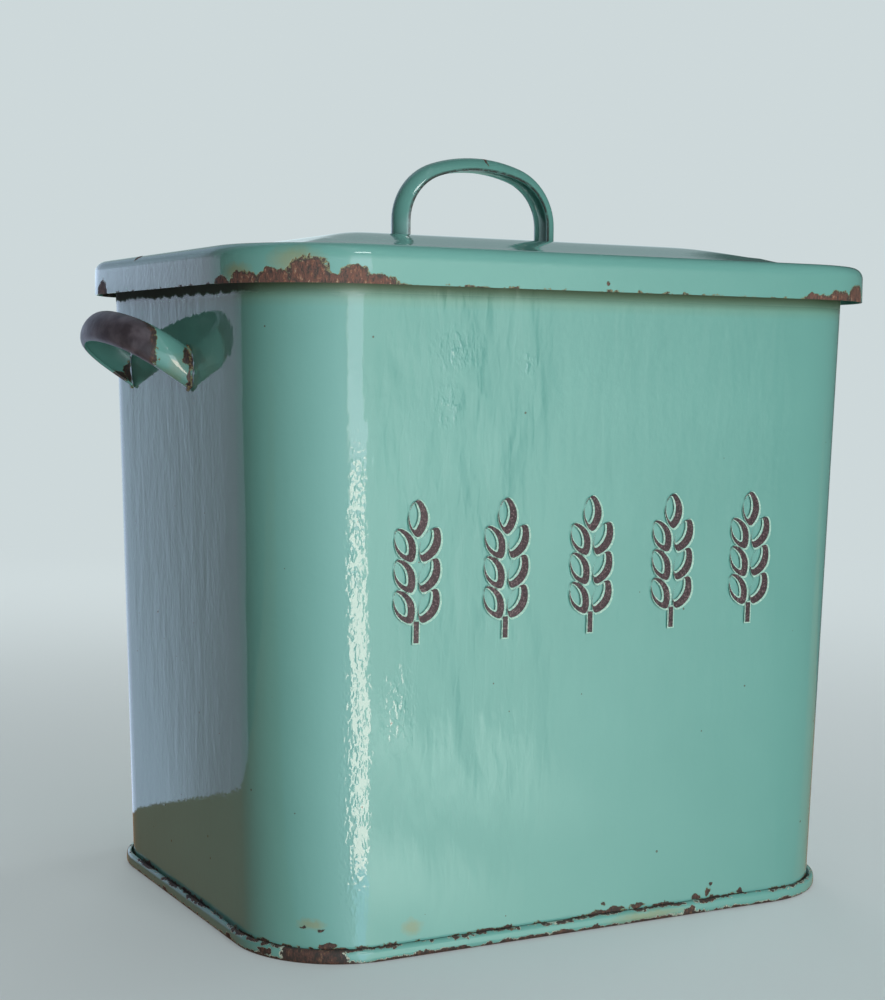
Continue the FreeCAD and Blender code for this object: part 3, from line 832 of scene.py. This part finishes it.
class BREADBIN_OT_lid_handle(bpy.types.Operator):
    """Bowed channel handle welded on the lid"""

    bl_idname = "breadbin.lid_handle"
    bl_label = "Lid handle"

    def execute(self, context):
        sizes = context.scene.bread_bin.lid_handle
        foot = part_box("lid_handle")[0]
        bm = bmesh.new()
        channel(bm, sizes, stock=0.0)
        thicken(bm, sizes.sheet)
        place = Matrix.Translation((0, 0, foot.z)) @ Matrix.Rotation(math.pi / 2, 4, "Z")
        bmesh.ops.transform(bm, matrix=place, verts=bm.verts)
        finish = context.scene.bread_bin.finish
        top = foot.z + sizes.reach
        knocks = [((4, 0, top / MM), (1.3, 9, 9)), ((-27, 6, 334), (5, 3, 3.5)),
                  ((43, -3, 304), (3, 4, 4)), ((-43, -3, 303.5), (3, 4, 3))]

        def lips(tree, coordinates):
            across = add(tree, "SeparateXYZ", coordinates).outputs["Y"]
            return lip_wear(tree, across, sizes.width / 2)

        # The handle's darker jade is painted shade.
        jade = enamel("jade_enamel_lid_handle", finish, knocks, lips=lips, rusted=False, flow=0.35,
                      shades=(finish.shaded_jade, finish.jade))
        piece("lid_grip", bm, "lid", jade, ["lid_handle"])
        line = arc((0, sizes.depth - sizes.span / 2), (sizes.width / 2, sizes.depth), 180, 180, 32)
        for side, way in (("left", -1), ("right", 1)):
            points = [place @ Vector((x, way * y, 0.1 * MM)) for x, y in line]
            weld(f"lid_handle_{side}_weld", points, 0.55 * MM, "lid", rusty_weld(finish))
        return {"FINISHED"}


class BREADBIN_OT_end_handles(bpy.types.Operator):
    """Two bowed channel handles welded to the ends"""

    bl_idname = "breadbin.end_handles"
    bl_label = "End handles"

    def execute(self, context):
        settings = context.scene.bread_bin
        sizes = settings.end_handle
        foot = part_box("base_pan")[1]
        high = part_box("body_shell")[1]
        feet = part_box("left_handle")[0].z
        half, slope = wall_at(feet, 0, foot, high, settings.sheet)
        middle = sizes.width / 2
        place = Matrix.Translation((-half + middle * math.sin(sizes.tilt), sizes.setback,
                                    feet + middle * math.cos(sizes.tilt)))
        place @= Matrix.Rotation(sizes.tilt - math.pi / 2, 4, "Y")
        worn = worn_handle_enamel(settings.finish, sizes, place.translation)
        rusty = rusty_weld(settings.finish)
        for side, sign in (("left", 1), ("right", -1)):
            bm = bmesh.new()
            channel(bm, sizes, stock=14 * MM)
            thicken(bm, sizes.sheet)
            bmesh.ops.transform(bm, matrix=place, verts=bm.verts)
            wall = Vector((-1, 0, -slope)).normalized()
            geom = bm.verts[:] + bm.edges[:] + bm.faces[:]
            bmesh.ops.bisect_plane(bm, geom=geom, plane_co=(-half, 0, feet), plane_no=wall,
                                   clear_inner=True)
            loops = [edge for edge in bm.edges if edge.is_boundary]
            bmesh.ops.holes_fill(bm, edges=loops, sides=0)
            if sign < 0:
                bmesh.ops.scale(bm, vec=(-1, 1, 1), verts=bm.verts)
                bmesh.ops.reverse_faces(bm, faces=bm.faces)
            piece(f"{side}_grip", bm, "bin", worn, [f"{side}_handle"])
            # Each bead follows its foot's outline, carried along the leg to the wall.
            line = arc((0, sizes.depth - sizes.span / 2), (sizes.width / 2, sizes.depth), 180, 180,
                       32)
            along = place.to_3x3() @ Vector((0, 0, 1))
            for end, way in (("front", 1), ("back", -1)):
                points = []
                for x, y in line:
                    point = place @ Vector((x, way * y, 0))
                    point -= along * (point - Vector((-half, 0, feet))).dot(wall) / along.dot(wall)
                    point += wall * 0.25 * MM
                    points.append(Vector((point.x * sign, point.y, point.z)))
                weld(f"{side}_handle_{end}_weld", points, 0.8 * MM, "bin", rusty)
        return {"FINISHED"}


# ---------------------------------------------------------------------------------------------
# The ornament


def grain_shadow(bm, place, half, wide, grow, height):
    """A crescent along the lower right of a grain, as if the grain stood up from the front.

    place turns and moves the grain, half holds its half width and half length, wide is half the
    crescent's greatest width, and grow makes it larger all round.
    """
    up_left = place.to_3x3().inverted() @ Vector((-0.82, 0, 0.57))
    up_left.z = 0
    up_left.normalize()
    rings = []
    for size, moved in ((grow, -grow), (-wide - grow, wide + grow)):
        ring = bmesh.ops.create_circle(bm, segments=48, radius=1.0)["verts"]
        for vert in ring:
            vert.co.x *= 1 - 0.3 * vert.co.y * vert.co.y
        shape = Matrix.Diagonal((half.x + size, half.y + size, 1, 1))
        shift = Matrix.Translation(up_left * moved + Vector((0, 0, height)))
        bmesh.ops.transform(bm, matrix=place @ shift @ shape, verts=ring)
        rings.append({edge for vert in ring for edge in vert.link_edges})
    bmesh.ops.bridge_loops(bm, edges=list(rings[0] | rings[1]))


def ear(bm, place, sizes, grow, height):
    """One ear of wheat: pairs of leaning grains, one on top, and a stalk."""
    half = Vector((sizes.grain_width, sizes.grain_length))
    step = sizes.grain_length * 1.66
    lean_out = math.radians(27)
    for row in range(3):
        for side in (-1, 1):
            centre = Matrix.Translation((side * sizes.grain_width * 1.27, (row - 1.0) * step, 0))
            turned = Matrix.Rotation(-side * lean_out, 4, "Z")
            grain_shadow(bm, place @ centre @ turned, half, sizes.shadow, grow, height)
    crown = Matrix.Translation((0, 1.86 * step, 0))
    grain_shadow(bm, place @ crown, half, sizes.shadow, grow, height)
    stalk = bmesh.ops.create_grid(bm, x_segments=1, y_segments=6, size=0.5)["verts"]
    wide, tall = 2.4 * MM, 9 * MM
    below = Matrix.Translation((0, -1.85 * step, height))
    shape = Matrix.Diagonal((wide + 2 * grow, tall + 2 * grow, 1, 1))
    bmesh.ops.transform(bm, matrix=place @ below @ shape, verts=stalk)


class BREADBIN_OT_ornament(bpy.types.Operator):
    """Row of stencilled wheat ears on the front"""

    bl_idname = "breadbin.ornament"
    bl_label = "Ornament"

    def execute(self, context):
        settings = context.scene.bread_bin
        sizes = settings.ornament
        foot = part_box("base_pan")[1]
        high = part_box("body_shell")[1]
        front, slope = wall_at(sizes.middle, 1, foot, high, settings.sheet)
        upright = Matrix.Rotation(math.pi / 2 + math.atan(slope), 4, "X")
        ink = settings.finish.ink
        dark = ornament_enamel("dark_stencil_enamel", ink, linear("#46383c"), linear("#78696b"))
        pale = ornament_enamel("pale_stencil_edge", linear("#8cb8ab"), linear("#a4cbbe"),
                               linear("#bdd6ca"))
        shift = -3 * MM
        for name, grow, height, material in (("ornament_edge", 0.55 * MM, 0.03 * MM, pale),
                                             ("ornament", 0.0, 0.06 * MM, dark)):
            bm = bmesh.new()
            for i in range(sizes.ears):
                across = (i - (sizes.ears - 1) / 2) * sizes.spacing + shift
                place = Matrix.Translation((across, -front, sizes.middle)) @ upright
                ear(bm, place, sizes, grow, height)
            bmesh.ops.recalc_face_normals(bm, faces=bm.faces)
            for face in bm.faces:
                if face.normal.y > 0:
                    face.normal_flip()
            piece(name, bm, "bin", material)
        return {"FINISHED"}


# ---------------------------------------------------------------------------------------------
# The stage


class BREADBIN_OT_stage(bpy.types.Operator):
    """Floor, backdrop, lights and camera"""

    bl_idname = "breadbin.stage"
    bl_label = "Stage"

    def camera(self, scene, view):
        data = bpy.data.cameras.new("camera")
        data.sensor_width = 36.0
        data.sensor_fit = "AUTO"
        data.lens = view.focal * data.sensor_width
        camera = bpy.data.objects.new("camera", data)
        scene.collection.objects.link(camera)
        forward = Vector((math.sin(view.heading) * math.cos(view.dip),
                          math.cos(view.heading) * math.cos(view.dip), -math.sin(view.dip)))
        right = Vector((math.cos(view.heading), -math.sin(view.heading), 0))
        upright = right.cross(forward)
        rolled = math.cos(view.roll) * right + math.sin(view.roll) * upright
        up = rolled.cross(forward)
        aim = Matrix((rolled, up, -forward)).transposed().to_4x4()
        camera.matrix_world = Matrix.Translation(view.place) @ aim
        scene.camera = camera

    def lamp(self, scene, name, heading, rise, far, size, power, aim, mirrored=True):
        """An area lamp, at a heading to the right of the front and a rise, both in degrees."""
        data = bpy.data.lights.new(name, "AREA")
        data.shape = "RECTANGLE"
        data.size, data.size_y = size
        data.energy = power
        lamp = bpy.data.objects.new(name, data)
        scene.collection.objects.link(lamp)
        heading, rise = math.radians(heading), math.radians(rise)
        way = Vector((math.sin(heading) * math.cos(rise), -math.cos(heading) * math.cos(rise),
                      math.sin(rise)))
        lamp.location = Vector(aim) + way * far
        lamp.rotation_euler = (-way).to_track_quat("-Z", "Y").to_euler()
        lamp.visible_camera = False
        lamp.visible_glossy = mirrored

    def backdrop(self, finish):
        """Floor that sweeps up into a backdrop."""
        half, start, bend, top = 6.0, 1.5, 0.9, 4.5
        section = [(-half, y, 0) for y in levels(-half, start, 30)]
        section += [(-half, y, z) for y, z in arc((start, bend), (bend, bend), -90, 90, 16)][1:]
        section += [(-half, start + bend, z) for z in levels(bend, top, 8)][1:]
        bm = bmesh.new()
        carry(bm, chain(bm, section), Vector((2 * half, 0, 0)), 24)
        bmesh.ops.recalc_face_normals(bm, faces=bm.faces)
        if sum(face.normal.z for face in bm.faces) < 0:
            bmesh.ops.reverse_faces(bm, faces=bm.faces)
        mesh = bpy.data.meshes.new("backdrop")
        bm.to_mesh(mesh)
        bm.free()
        mesh.polygons.foreach_set("use_smooth", [True] * len(mesh.polygons))
        mesh.materials.append(self.paper(finish))
        backdrop = bpy.data.objects.new("backdrop", mesh)
        bpy.context.scene.collection.objects.link(backdrop)

    def paper(self, finish):
        """Matt paper sheet: pale to the eye, a warmer grey where it lights, and in gloss a glowing
        painted reflection of a table.

        Far off it glows with its own tone, so that no light has to reach it.
        """
        material, tree, shader, place = new_material("pale_studio_paper")
        ray = add(tree, "LightPath").outputs
        seen = add(tree, "Math", "MAXIMUM", ray["Is Camera Ray"], ray["Is Transmission Ray"])
        shade = add(tree, "Mix", seen, _6=linear("#b8aea2"), _7=finish.backdrop)
        fill(shader, Base_Color=shade, Roughness=0.9)
        glow = add(tree, "Emission", Color=finish.backdrop, Strength=0.95)
        distance = add(tree, "VectorMath", "LENGTH", place)
        far = add(tree, "MapRange", distance, interpolation_type="SMOOTHSTEP",
                  span=(0.2, 1.6, 0.3, 1))
        share = add(tree, "Math", "MULTIPLY", far, seen)
        lit = add(tree, "MixShader", share, shader, glow)
        # Gloss sees the floor as a glowing painted reflection of a table and room.
        both = add(tree, "MixShader", ray["Is Glossy Ray"], lit, self.table(tree, place))
        output = next(node for node in tree.nodes if node.type == "OUTPUT_MATERIAL")
        fill(output, Surface=both)
        return material

    def table(self, tree, place):
        """What the floor gives the gloss: a glowing painted reflection of a dull table top, as far
        as the wall behind it, with painted window light and painted shade.
        """
        axes = add(tree, "SeparateXYZ", place)
        behind = add(tree, "MapRange", axes.outputs["Y"], span=(0.175, 0.18))
        front = add(tree, "MapRange", axes.outputs["Y"], span=(-0.12, -0.11, 1, 0))
        open_floor = add(tree, "Math", "MAXIMUM", behind, front)
        # The round corner spreads the floor about itself, but in the flat front it lies as if
        # seen from behind the bin, so to the right the heading is taken about that spot.
        from_corner = add(tree, "VectorMath", "SUBTRACT", place, (-0.11, -0.11, 0))
        from_behind = add(tree, "VectorMath", "SUBTRACT", place, (-0.435, 0.565, 0))
        not_front = add(tree, "MapRange", front, span=(0, 1, 2 * math.pi, 0))
        in_front = add(tree, "Math", "ADD", self.heading(tree, from_behind), not_front)
        turned = add(tree, "Math", "MINIMUM", self.heading(tree, from_corner), in_front)
        room = self.room(tree, turned)
        # Close to the corner the bin hides the window from the table, and leaves it a blue shade.
        reach = add(tree, "VectorMath", "LENGTH", from_corner)
        for span, most in (((0.13, 0.118), BIN_SHADE), ((1.95, 2.1), SKY_PANES)):
            where = add(tree, "MapRange", reach, span=span)
            room = add(tree, "Mix", where, blend_type="DARKEN", _6=room, _7=most)
        table = add(tree, "Mix", open_floor, _6=linear("#3b2f24"), _7=room)
        by_height = [(0.33, 0.9), (1.0, 0.5), (0.38, 1.3), (0.48, 1.3), (0.6, 0.85)]
        stops = [(z, (share, share, share, 1)) for z, share in by_height]
        level = add(tree, "ValToRGB", axes.outputs["Z"], stops=stops)
        # Window light is spilt on the table just in front of the corner.
        spill = patches(tree, place, [((-45, -215, 0), (60, 90, 60)),
                                      ((75, -450, 0), (90, 230, 60))])
        spill = add(tree, "MapRange", spill, span=(0, 0.8, ROOM_LIGHT, 1.6 * ROOM_LIGHT))
        strength = add(tree, "Math", "MULTIPLY", level, spill)
        return add(tree, "Emission", table, strength)

    def heading(self, tree, way):
        """Heading of a way, in radians to the right of the front."""
        axes = add(tree, "SeparateXYZ", way)
        forwards = add(tree, "Math", "MULTIPLY", axes.outputs["Y"], -1.0)
        return add(tree, "Math", "ARCTAN2", axes.outputs["X"], forwards)

    def room(self, tree, heading):
        """What gloss shows round the bin: a dim room, a window in front and pale walls behind.

        The ramp runs once round from straight behind, by the left, the front and the right, and
        is drawn in shares of the window's brightness.
        """
        share = add(tree, "MapRange", heading, span=(-math.pi, math.pi))
        blue_wall, grey_wall = (0.15, 0.184, 0.24, 1), (0.08, 0.079, 0.105, 1)
        green_wall, dim = (0.11, 0.135, 0.142, 1), (0.014, 0.015, 0.015, 1)
        window = (1.75, 1.53, 1.38, 1)
        headings = [(-180, blue_wall), (180, blue_wall), (-163, blue_wall), (-158, grey_wall),
                    (-136.7, grey_wall), (-136.3, dim), (-110, dim),
                    (-80, (0.06, 0.07, 0.08, 1)), (-45, (0.15, 0.19, 0.21, 1)),
                    (-15, (0.27, 0.33, 0.36, 1)), (-5.7, (0.3, 0.36, 0.37, 1)), (-5.3, window),
                    (12.6, window), (13.0, (0.42, 0.5, 0.46, 1)), (26.3, (0.38, 0.45, 0.41, 1)),
                    (26.7, (0.33, 0.4, 0.36, 1)), (31.3, (0.3, 0.37, 0.33, 1)),
                    (31.7, (0.28, 0.34, 0.31, 1)), (39.5, (0.03, 0.035, 0.03, 1)), (60, dim),
                    (139.8, dim), (140.2, green_wall), (170, green_wall)]
        stops = [((degrees + 180) / 360, shade) for degrees, shade in headings]
        return add(tree, "ValToRGB", share, stops=stops)

    def world(self, scene, finish):
        """Dim even room light; past the backdrop the eye sees its tone, and gloss the room."""
        world = bpy.data.worlds.new("studio")
        world.use_nodes = True
        tree = world.node_tree
        tree.nodes.clear()
        ray = add(tree, "LightPath").outputs
        way = add(tree, "TexCoord").outputs["Generated"]
        even = add(tree, "Background", Color=linear("#e6edf2"), Strength=0.16)
        # Above head height the window ends and the room is dimmer, so a lid seen from behind
        # shows its jade and not one sheet of white.
        height = add(tree, "SeparateXYZ", way).outputs["Z"]
        strength = add(tree, "MapRange", height,
                       span=(0.07, 0.17, 0.78 * ROOM_LIGHT, 0.14 * ROOM_LIGHT))
        room = add(tree, "Mix", blend_type="DARKEN", Factor=1.0,
                   _6=self.room(tree, self.heading(tree, way)), _7=SKY_PANES)
        gloss = add(tree, "Background", room, strength)
        pale = add(tree, "Background", Color=finish.backdrop, Strength=0.95)
        both = add(tree, "MixShader", ray["Is Glossy Ray"], even, gloss)
        both = add(tree, "MixShader", ray["Is Camera Ray"], both, pale)
        add(tree, "OutputWorld", Surface=both)
        scene.world = world

    def execute(self, context):
        scene = context.scene
        settings = scene.bread_bin
        self.camera(scene, settings.view)
        self.backdrop(settings.finish)
        self.world(scene, settings.finish)
        self.lamp(scene, "key", 0, 3, 1.4, (0.9, 0.34), 15.8, (-0.12, -0.1, 0.12),
                  mirrored=False)
        self.lamp(scene, "window_glint", 3, 26, 2.0, (0.5, 0.22), 4, (0, 0, 0.27))
        self.lamp(scene, "back_fill", 168, 16, 2.0, (1.4, 1.0), 19, (0, 0, 0.15), mirrored=False)
        self.lamp(scene, "side_fill", 98, 14, 2.0, (1.2, 0.9), 15, (0, 0, 0.15), mirrored=False)
        self.lamp(scene, "top_fill", 0, 86, 1.5, (1.6, 1.2), 3.5, (0, 0, 0.3), mirrored=False)
        scene.view_settings.view_transform = "Standard"
        return {"FINISHED"}


# ---------------------------------------------------------------------------------------------
# Registration


PIECES = (BREADBIN_OT_wall, BREADBIN_OT_base, BREADBIN_OT_lid, BREADBIN_OT_lid_handle,
          BREADBIN_OT_end_handles, BREADBIN_OT_ornament, BREADBIN_OT_stage)


class BREADBIN_PT_sidebar(bpy.types.Panel):
    """Settings of the bin, and a button for each piece"""

    bl_idname = "BREADBIN_PT_sidebar"
    bl_label = "Bread bin"
    bl_space_type = "VIEW_3D"
    bl_region_type = "UI"
    bl_category = "Bread bin"

    def draw(self, context):
        settings = context.scene.bread_bin
        for group in (settings.sheet, settings.lid_handle, settings.end_handle,
                      settings.ornament, settings.finish, settings.view):
            box = self.layout.box()
            for name in group.bl_rna.properties.keys():
                if name not in ("rna_type", "name"):
                    box.prop(group, name)
        for operator in PIECES:
            self.layout.operator(operator.bl_idname)


CLASSES = (SheetSettings, HandleSettings, OrnamentSettings, FinishSettings, ViewSettings,
           BreadBinSettings, *PIECES, BREADBIN_PT_sidebar)


def register():
    for item in CLASSES:
        bpy.utils.register_class(item)
    bpy.types.Scene.bread_bin = bpy.props.PointerProperty(type=BreadBinSettings)


def unregister():
    del bpy.types.Scene.bread_bin
    for item in reversed(CLASSES):
        bpy.utils.unregister_class(item)


def main():
    register()
    lid_handle = bpy.context.scene.bread_bin.lid_handle
    for name, millimetres in (("span", 87.0), ("reach", 40.9), ("width", 12.5), ("depth", 6.4),
                              ("crown", 75.0)):
        setattr(lid_handle, name, millimetres * MM)
    bpy.ops.breadbin.wall()
    bpy.ops.breadbin.base()
    bpy.ops.breadbin.lid()
    bpy.ops.breadbin.lid_handle()
    bpy.ops.breadbin.end_handles()
    bpy.ops.breadbin.ornament()
    bpy.ops.breadbin.stage()


if __name__ == "__main__":
    main()
